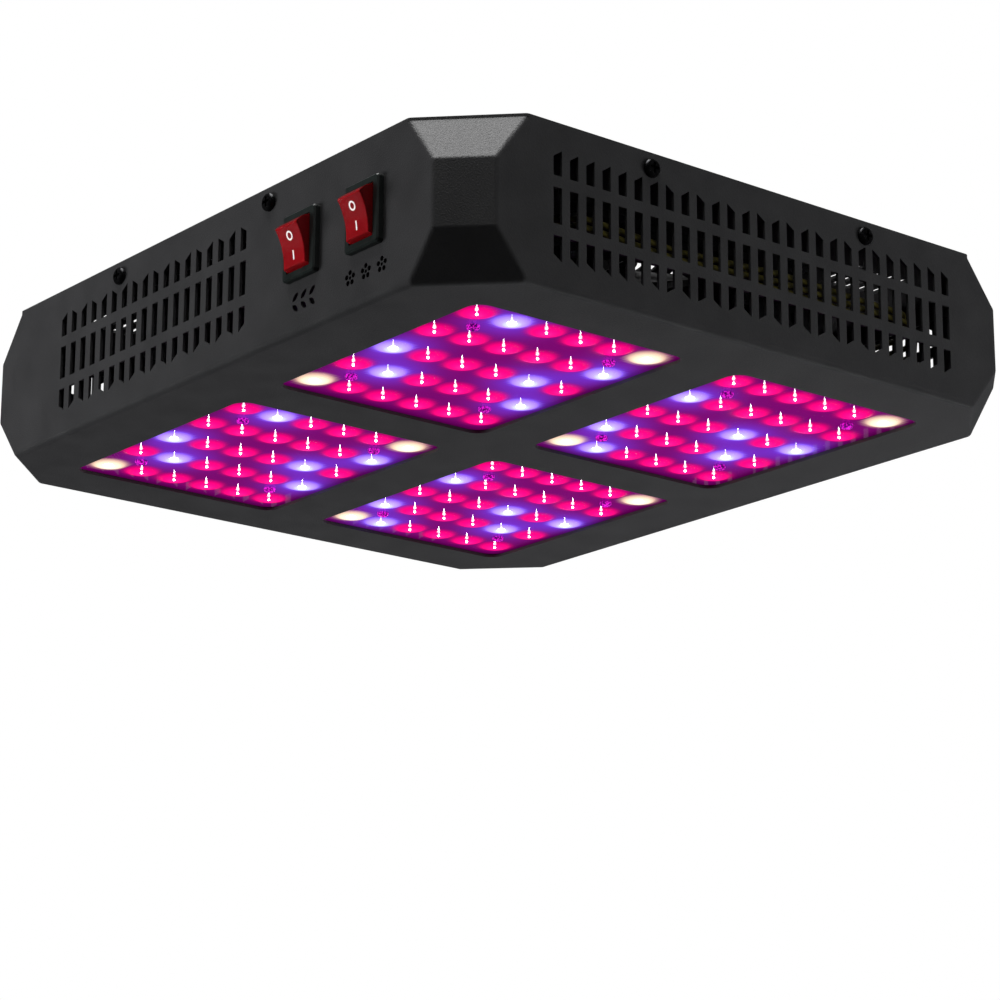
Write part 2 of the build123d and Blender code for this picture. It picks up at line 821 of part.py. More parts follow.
def driver_case(x, y):
    """The driver's box, open towards its lid, with a cable hole in each end."""
    case = rounded_plate(driver_length, driver_depth, driver_corner, driver_bottom, driver_top)
    inner_x = driver_length - 2 * driver_wall
    inner_y = driver_depth - 2 * driver_wall
    case -= block(inner_x, inner_y, driver_bottom + driver_wall, rim)
    cable_hole = Rot(0, 90, 0) * Cylinder(cable_hole_radius, driver_length + 2)
    return Pos(x, y, 0) * (case - Pos(0, 0, driver_top - cable_hole_drop) * cable_hole)


def driver_board(x, y):
    """The driver's circuit board with transformer, capacitors and choke."""
    floor = driver_bottom + driver_wall
    board_low = floor + driver_board_rise
    board_top = board_low + driver_board_thickness
    size_x = driver_length - 2 * (driver_wall + board_clearance)
    size_y = driver_depth - 2 * (driver_wall + board_clearance)
    board = block(size_x, size_y, board_low, board_top)
    for a, b in corners:
        foot_x = size_x / 2 - 2 * board_foot_radius
        foot_y = size_y / 2 - 2 * board_foot_radius
        board += Pos(a * foot_x, b * foot_y, 0) * rod(board_foot_radius, floor, board_low)
    x_size, y_size, tall = transformer_size
    board += Pos(size_x / 12, 0, 0) * block(x_size, y_size, board_top, board_top + tall)
    radius, tall = big_capacitor
    board += Pos(-size_x / 3, size_y / 8, 0) * rod(radius, board_top, board_top + tall)
    radius, tall = small_capacitor
    for side in (-1, 1):
        board += Pos(size_x / 3, side * size_y / 6, 0) * rod(radius, board_top, board_top + tall)
    x_size, y_size, tall = choke_size
    board += Pos(-size_x / 7, -size_y / 5, 0) * block(x_size, y_size, board_top, board_top + tall)
    return Pos(x, y, 0) * board


def driver_screws():
    """Screws through the cover into the driver lids' ears."""
    screw = pan_screw(m3_radius, cover_sheet + driver_lid + 1, m3_head_radius, m3_head_height)
    return [Pos(x, y, height) * screw for x, y in driver_screw_sites()]


def switch_frame(place):
    """A plane at a switch: its origin on the rocker's pivot axis, local Z pointing out of the front."""
    pivot_y = -depth / 2 + pivot_inset
    return Plane(origin=(place, pivot_y, switch_level), x_dir=(1, 0, 0), z_dir=(0, -1, 0))


def switch_body(place):
    """Snap-in body: bezel outside the wall, box behind it, and a well for the rocker."""
    front = pivot_below_bezel
    back = front - bezel_depth
    swing = radians(rocker_swing)
    bezel = rounded_plate(bezel_width, bezel_height, bezel_corner, back, front)
    bezel = chamfer(bezel.edges().group_by(Axis.Z)[-1], edge_chamfer)
    body = bezel + block(body_width, body_height, back - body_depth, back)
    well_floor = -cap_tail * cos(swing) - cap_radius * sin(swing) - cap_tail_clearance
    body -= block(body_width - 2 * body_wall, body_height - 2 * body_wall, well_floor, front + 1)
    body -= Rot(0, 90, 0) * Cylinder(pivot_radius + running_clearance, body_width + 2)
    latch_top = back - sheet - hole_clearance / 2
    latch = block(latch_width, 2 * latch_reach, latch_top - latch_length, latch_top)
    for side in (-1, 1):
        body += Pos(0, side * body_height / 2, 0) * latch
    return switch_frame(place) * body


def rocker_profile():
    """The rocker's side view: two ends on the swing circle and a hollow face between them."""
    turn = radians(cap_corner_angle)
    out = cap_radius * cos(turn)
    up = cap_radius * sin(turn)
    tail_up = (cap_radius ** 2 - cap_tail ** 2) ** 0.5
    face = ThreePointArc((up, out), (0, out - cap_face_dip), (-up, out))
    low_end = ThreePointArc((-up, out), (-cap_radius, 0), (-tail_up, -cap_tail))
    tail = Line((-tail_up, -cap_tail), (tail_up, -cap_tail))
    high_end = ThreePointArc((tail_up, -cap_tail), (cap_radius, 0), (up, out))
    return make_face(face + low_end + tail + high_end)


def switch_rocker(place):
    """The red rocker, resting with its lower end pressed in, on two stub pivots."""
    side_view = Plane(origin=(0, 0, 0), x_dir=(0, 1, 0), z_dir=(1, 0, 0))
    cap = extrude(side_view * rocker_profile(), cap_width / 2, both=True)
    cap = fillet(cap.edges().filter_by_position(Axis.Z, cap_radius * 0.5, cap_radius), cap_edge)
    pivot_span = cap_width + 2 * (cap_clearance + pivot_length)
    cap += Rot(0, 90, 0) * Cylinder(pivot_radius, pivot_span)
    return switch_frame(place) * Rot(rocker_swing, 0, 0) * cap


def switch_terminals():
    """Three blade terminals behind each switch."""
    blades = []
    back = pivot_below_bezel - bezel_depth - body_depth
    for place in switch_positions():
        for row in (-1, 0, 1):
            blade = block(terminal_width, terminal_thickness, back - terminal_length, back)
            blades.append(switch_frame(place) * Pos(0, row * terminal_pitch, 0) * blade)
    return blades


def connector_frame(place):
    """A plane on the back wall's outside, local Z pointing out."""
    return back_face * Pos(place, switch_level)


def connector_shell():
    """The snap-in housing that inlet and outlet share, before their fronts are formed."""
    flange = rounded_plate(flange_width, flange_height, flange_corner, 0, flange_depth)
    flange = chamfer(flange.edges().group_by(Axis.Z)[-1], edge_chamfer)
    back = flange_depth - connector_depth
    shell = flange + block(connector_width, connector_height, back, flange_depth / 2)
    latch_top = -sheet - hole_clearance / 2
    latch = block(2 * latch_reach, connector_latch_width, latch_top - connector_latch_length, latch_top)
    for side in (-1, 1):
        shell += Pos(side * connector_width / 2, 0, 0) * latch
    return shell


def pin_sites():
    """Middles of the three contacts, the earth one offset."""
    return [(-pin_spacing, -pin_offset), (0, pin_offset), (pin_spacing, -pin_offset)]


def keyed_outline(x_size, y_size):
    """A socket outline with two of its corners cut."""
    half_x = x_size / 2
    half_y = y_size / 2
    cut = y_size / 4
    points = [
        (-half_x, -half_y), (half_x, -half_y), (half_x, half_y - cut),
        (half_x - cut, half_y), (cut - half_x, half_y), (-half_x, half_y - cut),
    ]
    return Polygon(*points, align=None)


def inlet_body():
    """Mains inlet: an open socket with holes for its three pins."""
    socket_floor = flange_depth - socket_depth
    body = connector_shell()
    body -= Pos(0, 0, socket_floor) * extrude(keyed_outline(socket_width, socket_height), socket_depth + 1)
    for x, y in pin_sites():
        body -= Pos(x, y, 0) * block(pin_width, pin_height, -connector_depth - 1, 0)
    return connector_frame(connector_positions()[0]) * body


def inlet_pins():
    """The inlet's three flat pins, with solder tails behind."""
    start = flange_depth - connector_depth - pin_tail
    end = flange_depth - socket_depth + pin_length
    frame = connector_frame(connector_positions()[0])
    return [frame * Pos(x, y) * block(pin_width, pin_height, start, end) for x, y in pin_sites()]


def outlet_body():
    """Linking outlet: a keyed core in a moat, with three contact slots."""
    floor = flange_depth - socket_depth
    body = connector_shell()
    moat = extrude(keyed_outline(socket_width, socket_height), socket_depth + 1)
    core_width = socket_width - 2 * moat_width
    core_height = socket_height - 2 * moat_width
    moat -= extrude(keyed_outline(core_width, core_height), socket_depth + 1)
    body -= Pos(0, 0, floor) * moat
    for x, y in pin_sites():
        slot = block(contact_slot, contact_slot_height, -connector_depth - 1, flange_depth + 1)
        body -= Pos(x, y, 0) * slot
    return connector_frame(connector_positions()[1]) * body


def outlet_contacts():
    """Spring contacts deep in the outlet's slots."""
    start = flange_depth - connector_depth - pin_tail
    end = flange_depth - contact_drop
    frame = connector_frame(connector_positions()[1])
    blade_x = contact_slot - 2 * contact_clearance
    blade_y = contact_slot_height - 2 * contact_clearance
    blade = block(blade_x, blade_y, start, end)
    blade -= block(blade_x - 2 * contact_wall, contact_slot_height, end - contact_gap_depth, end + 1)
    return [frame * Pos(x, y) * blade for x, y in pin_sites()]


def wire(points):
    """An insulated wire along straight runs joined by arcs."""
    path = FilletPolyline(*points, radius=wire_bend)
    start = Plane(origin=path @ 0, z_dir=path % 0)
    return sweep(start * Circle(wire_radius), path=path)


def wire_loom():
    """Three supply wires from the inlet, round the right side, to the switches."""
    inlet_x = -connector_positions()[0]
    inlet_y = depth / 2 + flange_depth - connector_depth - pin_tail - wire_from_contact
    wall_x = width / 2 - sheet - wire_from_wall - wire_radius
    switch_back = -depth / 2 + body_depth + terminal_length
    switch_x = switch_positions()[0]
    wires = []
    for number, (pin_x, pin_z) in enumerate(pin_sites()):
        level = wire_level + (number - 1) * wire_spacing
        back_lane = inlet_y - wire_lane - number * wire_spacing
        front_lane = switch_back + wire_lane + number * wire_spacing
        start_x = inlet_x - pin_x
        points = [
            (start_x, inlet_y, switch_level + pin_z),
            (start_x, back_lane, switch_level + pin_z),
            (inlet_x + 2 * wire_corner, back_lane, level),
            (wall_x - wire_corner, back_lane, level),
            (wall_x, back_lane - wire_corner, level),
            (wall_x, depth / 20, level + wire_sag / 2),
            (wall_x, -depth / 8, level - wire_sag),
            (wall_x, front_lane + wire_corner, level),
            (wall_x - wire_corner, front_lane, level),
            (switch_x, front_lane, level),
        ]
        wires.append(wire(points))
    return wires


def save(name, shape):
    """Write one node as STEP."""
    if isinstance(shape, list):
        shape = Compound(children=[item for piece in shape for item in piece.solids()])
    shape.label = name
    export_step(shape, f"parts/{name}.step")


def main():
    os.makedirs("parts", exist_ok=True)
    save("housing", housing())
    save("top_cover", top_cover())
    save("cover_screws", cover_screws())
    for number, site in enumerate(hanger_sites(), 1):
        save(f"hanger_bracket_{number}", hanger_bracket(*site))
    save("hanger_screws", hanger_screws())
    save("hanger_nuts", hanger_nuts())
    one_emitter = emitter()
    for number, site in enumerate(window_centres(), 1):
        save(f"lens_seal_{number}", lens_seal(*site))
        save(f"lens_plate_{number}", lens_plate(*site))
        save(f"led_board_{number}", led_board(*site))
        save(f"led_emitters_{number}", module_copies(one_emitter, *site))
        save(f"heat_sink_{number}", heat_sink(*site))
    save("board_screws", board_screws())
    save("heat_sink_posts", heat_sink_posts())
    save("heat_sink_screws", heat_sink_screws())
    for number, site in enumerate(fan_centres(), 1):
        save(f"fan_frame_{number}", fan_frame(*site))
        save(f"fan_rotor_{number}", fan_rotor(*site))
    save("fan_screws", fan_screws())
    save("fan_nuts", fan_nuts())
    for number, site in enumerate(driver_sites(), 1):
        save(f"driver_case_{number}", driver_case(*site))
        save(f"driver_lid_{number}", driver_lid_plate(*site))
        save(f"driver_board_{number}", driver_board(*site))
    save("driver_screws", driver_screws())
    for number, place in enumerate(switch_positions(), 1):
        save(f"switch_body_{number}", switch_body(place))
        save(f"switch_rocker_{number}", switch_rocker(place))
    save("switch_terminals", switch_terminals())
    save("inlet_body", inlet_body())
    save("inlet_pins", inlet_pins())
    save("outlet_body", outlet_body())
    save("outlet_contacts", outlet_contacts())
    save("wire_loom", wire_loom())


main()
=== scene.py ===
import json
from math import asin, cos, exp, hypot, pi, radians, sin

import bmesh
import bpy
from mathutils import Matrix, Vector


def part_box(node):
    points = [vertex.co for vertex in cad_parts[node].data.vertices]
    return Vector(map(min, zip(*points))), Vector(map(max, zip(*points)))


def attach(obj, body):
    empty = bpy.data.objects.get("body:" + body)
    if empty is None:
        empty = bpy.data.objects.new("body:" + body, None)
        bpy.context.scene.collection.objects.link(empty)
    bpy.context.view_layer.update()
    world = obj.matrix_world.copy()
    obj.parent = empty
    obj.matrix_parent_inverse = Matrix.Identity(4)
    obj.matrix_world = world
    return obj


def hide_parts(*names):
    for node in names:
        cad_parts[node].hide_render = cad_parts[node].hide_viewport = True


bl_info = {
    "name": "Grow Light Finish",
    "version": (1, 0, 0),
    "blender": (4, 5, 0),
    "location": "View3D > Sidebar > Grow Light",
    "description": "Finishes the hanging plant light: lit lens plates, switch marks and materials",
    "category": "Object",
}

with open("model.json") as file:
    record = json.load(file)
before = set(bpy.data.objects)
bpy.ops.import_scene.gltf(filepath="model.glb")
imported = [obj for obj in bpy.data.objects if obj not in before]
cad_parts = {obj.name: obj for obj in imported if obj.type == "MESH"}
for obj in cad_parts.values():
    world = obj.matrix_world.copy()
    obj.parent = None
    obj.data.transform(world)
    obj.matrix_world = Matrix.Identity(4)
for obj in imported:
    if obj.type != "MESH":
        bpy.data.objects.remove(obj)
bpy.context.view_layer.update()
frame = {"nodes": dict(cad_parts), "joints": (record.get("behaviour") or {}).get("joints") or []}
nodes = frame["nodes"]

MM = 0.001
# Points closer than this are merged.
MERGE = 1e-7

# Node names end in a number: one for each quarter of the case (lamp modules, heat sinks and
# hanger brackets), or one of a pair (fans, drivers and switches).
QUARTERS = ("1", "2", "3", "4")
PAIR = ("1", "2")

# The lens plate: depth of its domed front, and width and outer corner radius of its rim.
PLATE_FRONT = 1.4 * MM
SKIRT_WIDTH = 1.2 * MM
SKIRT_CORNER = 9.0 * MM
DOME_RINGS, DOME_STEPS = 6, 24

# The middle of an outer lamp stands this far inside the emitters' box.
EMITTER_HALF = 2.3 * MM

# The rocker's hollow face: half its length, the height of its ends over the pivot, and its dip.
FACE_HALF = 7.124 * MM
FACE_RIM = 5.978 * MM
FACE_DIP = 1.1 * MM
# The printed marks: where each stands along the face, and how far it rises over the face and
# sinks into it.
RING_AT = 3.5 * MM
BAR_AT = -3.4 * MM
MARK_DEPTH = 0.07 * MM

# Which lamp stands where, front row first, seen from above with the left column first:
# R deep red, B royal blue, W warm white.
FRONT_LAMPS = ("WRBRR", "RBRRB", "RRRRR", "RRRRR", "RRBRR", "RBRBW")
BACK_LAMPS = ("WBRBR", "BRRRR", "RRRRR", "RRBRR", "RBRRR", "RRBRW")


# ---------------------------------------- sizes and colours a user would change

class LampSettings(bpy.types.PropertyGroup):
    """Sizes and colours of the lit lens plates."""
    dome_width: bpy.props.FloatProperty(
        name="Dome width", description="Diameter of one low lens dome",
        default=14.4 * MM, unit="LENGTH")
    dome_rise: bpy.props.FloatProperty(
        name="Dome rise", description="How far a dome bulges below its plate",
        default=1.35 * MM, unit="LENGTH")
    pool_width: bpy.props.FloatProperty(
        name="Pool width", description="Diameter of the pool of light round a lamp",
        default=19.0 * MM, unit="LENGTH")
    plate_thickness: bpy.props.FloatProperty(
        name="Plate thickness", description="Thickness of the moulding behind the domes",
        default=4.2 * MM, unit="LENGTH")
    glow_cell: bpy.props.FloatProperty(
        name="Glow cell", description="Width of the cells that carry the colour of the light",
        default=1.8 * MM, unit="LENGTH")
    blue_reach: bpy.props.FloatProperty(
        name="Blue reach", description="How far blue light tints the ground",
        default=13.0 * MM, unit="LENGTH")
    # The dim rim is painted shade: the glow of a plate darkens toward its edge.
    rim_shade: bpy.props.FloatProperty(
        name="Rim shade", description="Width of the dim rim of a plate",
        default=11.0 * MM, unit="LENGTH")
    glow_strength: bpy.props.FloatProperty(
        name="Glow strength", description="Brightness of the plates", default=1.15)
    # Brightness of the painted glints: glowing beads and flames that stand in for the emitters'
    # glare.
    painted_glint_strength: bpy.props.FloatProperty(
        name="Spark strength", description="Brightness of the bare emitter images",
        default=45.0)
    # The flame is part of each emitter's painted glint, drawn up above its bead.
    flame_height: bpy.props.FloatProperty(
        name="Flame height", description="Length of the emitter image drawn up in its collimator",
        default=3.4 * MM, unit="LENGTH")


class SwitchSettings(bpy.types.PropertyGroup):
    """Sizes of the on and off marks on the rockers."""
    ring_width: bpy.props.FloatProperty(
        name="Ring width", description="Outer width of the off ring",
        default=3.4 * MM, unit="LENGTH")
    bar_length: bpy.props.FloatProperty(
        name="Bar length", description="Length of the on bar",
        default=3.3 * MM, unit="LENGTH")
    stroke: bpy.props.FloatProperty(
        name="Stroke", description="Width of the printed line",
        default=0.6 * MM, unit="LENGTH")


class FinishSettings(bpy.types.PropertyGroup):
    """Colours of the case and its parts."""
    coat: bpy.props.StringProperty(
        name="Coat", description="Powder coat, sRGB hex", default="252526")
    rocker: bpy.props.StringProperty(
        name="Rocker", description="Rocker plastic, sRGB hex", default="6C090F")
    floor: bpy.props.StringProperty(
        name="Floor", description="Studio floor, sRGB hex", default="E4E4E2")


# ---------------------------------------- small helpers

def linear(code):
    """Turns an sRGB hex colour into linear red, green, blue and an alpha of 1."""
    parts = [int(code[k:k + 2], 16) / 255 for k in (0, 2, 4)]
    curve = [c / 12.92 if c <= 0.04045 else ((c + 0.055) / 1.055) ** 2.4 for c in parts]
    return tuple(curve) + (1.0,)


def add(tree, kind, settings=(), **inputs):
    """Adds a shader node, sets its options, and sets or links its inputs.

    An input is named with _ for a space, or by _ and its number where names repeat.
    """
    made = tree.nodes.new("ShaderNode" + kind)
    for name, value in dict(settings).items():
        setattr(made, name, value)
    for name, value in inputs.items():
        socket = made.inputs[int(name[1:]) if name[1:].isdigit() else name.replace("_", " ")]
        if isinstance(value, bpy.types.NodeSocket):
            tree.links.new(value, socket)
        else:
            socket.default_value = value
    return made


def new_material(name, **inputs):
    """A material with one Principled shader whose sockets are set directly."""
    material = bpy.data.materials.new(name)
    material.use_nodes = True
    shader = material.node_tree.nodes["Principled BSDF"]
    for key, value in inputs.items():
        shader.inputs[key.replace("_", " ")].default_value = value
    return material, material.node_tree, shader


def place(tree, scale=(1.0, 1.0, 1.0)):
    """The piece's own coordinates in metres, stretched by scale."""
    source = add(tree, "TexCoord")
    return add(tree, "Mapping", Vector=source.outputs["Object"], Scale=scale).outputs["Vector"]


def per_metre(size_mm):
    """The texture scale that makes one repeat about size_mm wide."""
    return 1000.0 / size_mm


def grain(tree, size_mm, detail=3.0, scale=(1.0, 1.0, 1.0)):
    """Noise whose blotches are about size_mm across."""
    noise = add(
        tree, "TexNoise", Vector=place(tree, scale), Scale=per_metre(size_mm), Detail=detail)
    return noise.outputs["Fac"]


def ramp(tree, source, low, high, start=0.3, end=0.7):
    """Maps a pattern to a colour between two hex values."""
    made = add(tree, "ValToRGB", Fac=source)
    stops = made.color_ramp.elements
    stops[0].position, stops[0].color = start, linear(low)
    stops[1].position, stops[1].color = end, linear(high)
    return made.outputs["Color"]


def spread(tree, source, low, high):
    """Maps a pattern from 0..1 to a range of numbers."""
    return add(tree, "MapRange", Value=source, To_Min=low, To_Max=high).outputs["Result"]


def bump(tree, shader, source, depth_mm, strength=1.0):
    """Raises the surface by a pattern of a real depth."""
    made = add(tree, "Bump", Height=source, Distance=depth_mm * MM, Strength=strength)
    tree.links.new(made.outputs["Normal"], shader.inputs["Normal"])


def paint(material, *names):
    """Gives CAD nodes one material."""
    for name in names:
        slots = nodes[name].data.materials
        slots.clear()
        slots.append(material)


def new_mesh(shape, name):
    """Writes a bmesh to a mesh of its own and frees it."""
    mesh = bpy.data.meshes.new(name)
    shape.to_mesh(mesh)
    shape.free()
    return mesh


def lathe(shape, profile, steps):
    """Turns a line of (radius, height) points about the upright axis into a surface."""
    points = [shape.verts.new((radius, 0, height)) for radius, height in profile]
    line = [shape.edges.new(pair) for pair in zip(points, points[1:])]
    bmesh.ops.spin(
        shape, geom=points + line, cent=(0, 0, 0), axis=(0, 0, 1), angle=2 * pi, steps=steps,
        use_merge=True)


def close_up(shape):
    """Merges doubled points and turns the faces the same way."""
    bmesh.ops.remove_doubles(shape, verts=shape.verts, dist=MERGE)
    bmesh.ops.recalc_face_normals(shape, faces=shape.faces)


def finish_piece(shape, name, material, body="case", smooth=True):
    """Turns a bmesh into a piece that rides on a body."""
    mesh = new_mesh(shape, name)
    mesh.materials.append(material)
    if smooth:
        mesh.shade_smooth()
        mesh.set_sharp_from_angle(angle=radians(35))
    piece = bpy.data.objects.new(name, mesh)
    bpy.context.scene.collection.objects.link(piece)
    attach(piece, body)
    return piece


# ---------------------------------------- materials

def powder_coat_black(code):
    """Polyester powder coat on steel: a dull satin black with a fine pebbled grain."""
    material, tree, shader = new_material("powder_coat_black", Specular_IOR_Level=0.42)
    # Cured pebbles are about 0.1 mm across; drawn at 0.6 mm so that they show.
    fine = grain(tree, 0.6, 2.0)
    cloud = grain(tree, 14.0, 4.0)
    base = ramp(tree, cloud, code, "2A2A2B")
    tree.links.new(base, shader.inputs["Base Color"])
    tree.links.new(spread(tree, fine, 0.38, 0.62), shader.inputs["Roughness"])
    bump(tree, shader, fine, 0.14, 0.8)
    return material


def black_zinc_screw():
    """Black zinc plate on steel screws: nearly black, glossy, faintly streaked by the bath."""
    material, tree, shader = new_material("black_zinc_screw", Metallic=0.85)
    streak = grain(tree, 1.6, 4.0)
    tree.links.new(ramp(tree, streak, "141415", "2A2A2C"), shader.inputs["Base Color"])
    tree.links.new(spread(tree, streak, 0.16, 0.36), shader.inputs["Roughness"])
    return material


def painted_glow_screw():
    """Zinc-plated lens screws in the middle of the glow, with the lamps' magenta light painted on
    as their colour and a faint glow: speckled magenta with dark pits.
    """
    material, tree, shader = new_material("painted_glow_screw", Metallic=0.6, Emission_Strength=0.9)
    speck = grain(tree, 0.7, 1.0)
    # Painted light: the magenta speckle stands in for lamp light falling on silver zinc.
    shade = ramp(tree, speck, "3A0050", "E01CCB", 0.42, 0.6)
    tree.links.new(shade, shader.inputs["Base Color"])
    tree.links.new(shade, shader.inputs["Emission Color"])
    tree.links.new(spread(tree, speck, 0.3, 0.5), shader.inputs["Roughness"])
    return material


def bright_zinc():
    """Bright zinc plate: bluish silver with soft cloudy patches."""
    material, tree, shader = new_material("bright_zinc", Metallic=1.0)
    cloud = grain(tree, 3.0, 5.0)
    tree.links.new(ramp(tree, cloud, "A9AEB5", "D2D5D9"), shader.inputs["Base Color"])
    tree.links.new(spread(tree, cloud, 0.22, 0.42), shader.inputs["Roughness"])
    bump(tree, shader, grain(tree, 0.5), 0.01)
    return material


def extruded_aluminium():
    """Mill-finish aluminium extrusion: pale grey with die lines along the fins."""
    material, tree, shader = new_material("extruded_aluminium", Metallic=1.0)
    lines = grain(tree, 0.6, 3.0, (1.0, 0.02, 1.0))
    tree.links.new(ramp(tree, lines, "8C8F93", "B4B7BA"), shader.inputs["Base Color"])
    tree.links.new(spread(tree, lines, 0.3, 0.5), shader.inputs["Roughness"])
    bump(tree, shader, lines, 0.03)
    return material


def galvanised_case():
    """Galvanised steel driver cases: grey zinc with large angular spangles."""
    material, tree, shader = new_material("galvanised_case", Metallic=1.0)
    # Zinc spangles are 5 to 10 mm across.
    cells = add(tree, "TexVoronoi", Vector=place(tree), Scale=per_metre(7.0)).outputs["Color"]
    tree.links.new(ramp(tree, cells, "85898D", "B5B9BC", 0.1, 0.9), shader.inputs["Base Color"])
    tree.links.new(spread(tree, cells, 0.28, 0.48), shader.inputs["Roughness"])
    return material


def glass_filled_plastic():
    """Glass-filled polyester fan mouldings: matt black with fine fibre flecks."""
    material, tree, shader = new_material("glass_filled_plastic", Specular_IOR_Level=0.35)
    flecks = grain(tree, 0.35, 2.0, (1.0, 0.4, 1.0))
    tree.links.new(ramp(tree, flecks, "101011", "1E1E20", 0.45, 0.75), shader.inputs["Base Color"])
    tree.links.new(spread(tree, flecks, 0.5, 0.7), shader.inputs["Roughness"])
    bump(tree, shader, flecks, 0.02)
    return material


def nylon_black():
    """Moulded nylon of bezels and connectors: black with a green cast and a fine eroded grain."""
    material, tree, shader = new_material("nylon_black", Specular_IOR_Level=0.45)
    spark = grain(tree, 0.4, 2.0)
    tree.links.new(ramp(tree, grain(tree, 6.0), "121615", "1A1F1E"), shader.inputs["Base Color"])
    tree.links.new(spread(tree, spark, 0.32, 0.5), shader.inputs["Roughness"])
    bump(tree, shader, spark, 0.015)
    return material


def rocker_polycarbonate(code):
    """Tinted polycarbonate rockers: deep clear red, polished, darker in its depth."""
    material, tree, shader = new_material(
        "rocker_polycarbonate", Roughness=0.2, Specular_IOR_Level=0.3, Coat_Weight=0.15,
        Coat_Roughness=0.06, Subsurface_Weight=0.2, Subsurface_Scale=0.5,
        Subsurface_Radius=(0.004, 0.0006, 0.0004))
    flow = grain(tree, 5.0, 2.0)
    tree.links.new(ramp(tree, flow, code, "7A0B12"), shader.inputs["Base Color"])
    bump(tree, shader, grain(tree, 2.5, 1.0), 0.01, 0.4)
    return material


def printed_white():
    """Pad-printed ink of the switch marks: slightly uneven white."""
    material, tree, shader = new_material("printed_white", Roughness=0.4)
    tree.links.new(ramp(tree, grain(tree, 0.5), "DAD6D4", "F6F3F1"), shader.inputs["Base Color"])
    return material


def closed_foam():
    """Black closed-cell foam gasket: soot black with small open pores."""
    material, tree, shader = new_material("closed_foam", Roughness=0.95, Specular_IOR_Level=0.15)
    pores = add(tree, "TexVoronoi", Vector=place(tree), Scale=per_metre(0.5)).outputs["Distance"]
    tree.links.new(ramp(tree, pores, "0B0B0C", "19191A", 0.0, 0.6), shader.inputs["Base Color"])
    bump(tree, shader, pores, 0.08)
    return material


def solder_mask_lit():
    """White solder mask bathed in violet light: a dim magenta floor behind the lenses."""
    material, tree, shader = new_material("solder_mask_lit", Roughness=0.5, Emission_Strength=0.55)
    shade = ramp(tree, grain(tree, 9.0, 2.0), "4A0070", "78009A")
    tree.links.new(shade, shader.inputs["Base Color"])
    tree.links.new(shade, shader.inputs["Emission Color"])
    return material


def lamp_phosphor():
    """The emitters' own little windows: a soft rose light."""
    material, tree, shader = new_material("lamp_phosphor", Roughness=0.3, Emission_Strength=1.3)
    shade = ramp(tree, grain(tree, 1.2, 1.0), "8A0070", "A8008A")
    tree.links.new(shade, shader.inputs["Base Color"])
    tree.links.new(shade, shader.inputs["Emission Color"])
    return material


def driver_laminate():
    """Glass-epoxy circuit board: green mask over a faint woven ground."""
    material, tree, shader = new_material("driver_laminate", Roughness=0.35)
    weave = add(tree, "TexChecker", Vector=place(tree), Scale=per_metre(0.8)).outputs["Fac"]
    tree.links.new(ramp(tree, weave, "0C4A26", "135B30", 0.0, 1.0), shader.inputs["Base Color"])
    return material


def contact_brass():
    """Stamped brass contacts: yellow metal with faint drawing lines."""
    material, tree, shader = new_material("contact_brass", Metallic=1.0)
    lines = grain(tree, 0.4, 2.0, (1.0, 0.1, 1.0))
    tree.links.new(ramp(tree, lines, "B98F3C", "D8B766"), shader.inputs["Base Color"])
    tree.links.new(spread(tree, lines, 0.2, 0.38), shader.inputs["Roughness"])
    return material


def braided_sleeve():
    """Varnished glass-fibre sleeve on the wires: dull olive yellow with a fine braid."""
    material, tree, shader = new_material("braided_sleeve", Roughness=0.6)
    wave = add(
        tree, "TexWave", {"bands_direction": "DIAGONAL"}, Vector=place(tree), Scale=per_metre(6.3))
    braid = wave.outputs["Fac"]
    tree.links.new(ramp(tree, braid, "201E0A", "3A3614", 0.2, 0.8), shader.inputs["Base Color"])
    bump(tree, shader, braid, 0.08)
    return material


def lit_acrylic(strength):
    """Clear moulded acrylic full of lamp light: saturated pools of colour on a violet ground."""
    # The painted glints of the emitters stand inside the plate and show through, since each layer
    # lets 16% by.
    material, tree, shader = new_material(
        "lit_acrylic", Roughness=0.2, Specular_IOR_Level=0.16, Alpha=0.84,
        Emission_Strength=strength)
    glow = add(tree, "VertexColor", {"layer_name": "lamp_light"}).outputs["Color"]
    tree.links.new(glow, shader.inputs["Emission Color"])
    # The plate's base colour stays low, dark violet with a little of the painted glow mixed in, so
    # that the studio light doesn't wash the glow out.
    dark = linear("18001E")
    body = add(tree, "Mix", {"data_type": "RGBA"}, _0=0.85, _6=glow, _7=dark).outputs[2]
    tree.links.new(body, shader.inputs["Base Color"])
    tree.links.new(spread(tree, grain(tree, 1.5, 2.0), 0.14, 0.28), shader.inputs["Roughness"])
    return material


def painted_glint_light(name, code, strength):
    """Painted glint of a bare emitter: a glow too bright to show any colour but its fringe."""
    material, tree, shader = new_material(name, Roughness=0.5, Emission_Strength=strength)
    shade = ramp(tree, grain(tree, 1.0, 1.0), code, "FFFFFF", 0.2, 0.5)
    tree.links.new(shade, shader.inputs["Emission Color"])
    tree.links.new(shade, shader.inputs["Base Color"])
    return material


def studio_plaster(code):
    """Pale studio floor: matt, bright by its own light, with the faintest mottle."""
    material, tree, shader = new_material(
        "studio_plaster", Roughness=0.9, Specular_IOR_Level=0.1, Emission_Strength=0.8)
    shade = ramp(tree, grain(tree, 400.0), code, "ECECEA")
    tree.links.new(shade, shader.inputs["Base Color"])
    tree.links.new(shade, shader.inputs["Emission Color"])
    return material


# ---------------------------------------- lamps

def lamp_grid(module):
    """Each lamp of a module: its middle and its kind, worked out from the emitters' box."""
    low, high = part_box(f"led_emitters_{module}")
    rows = BACK_LAMPS if low.y > 0 else FRONT_LAMPS
    half = EMITTER_HALF
    lamps = []
    for row, kinds in enumerate(rows):
        y = low.y + half + (high.y - low.y - 2 * half) * row / (len(rows) - 1)
        for column, kind in enumerate(kinds):
            x = low.x + half + (high.x - low.x - 2 * half) * column / (len(kinds) - 1)
            lamps.append((Vector((x, y)), kind))
    return lamps


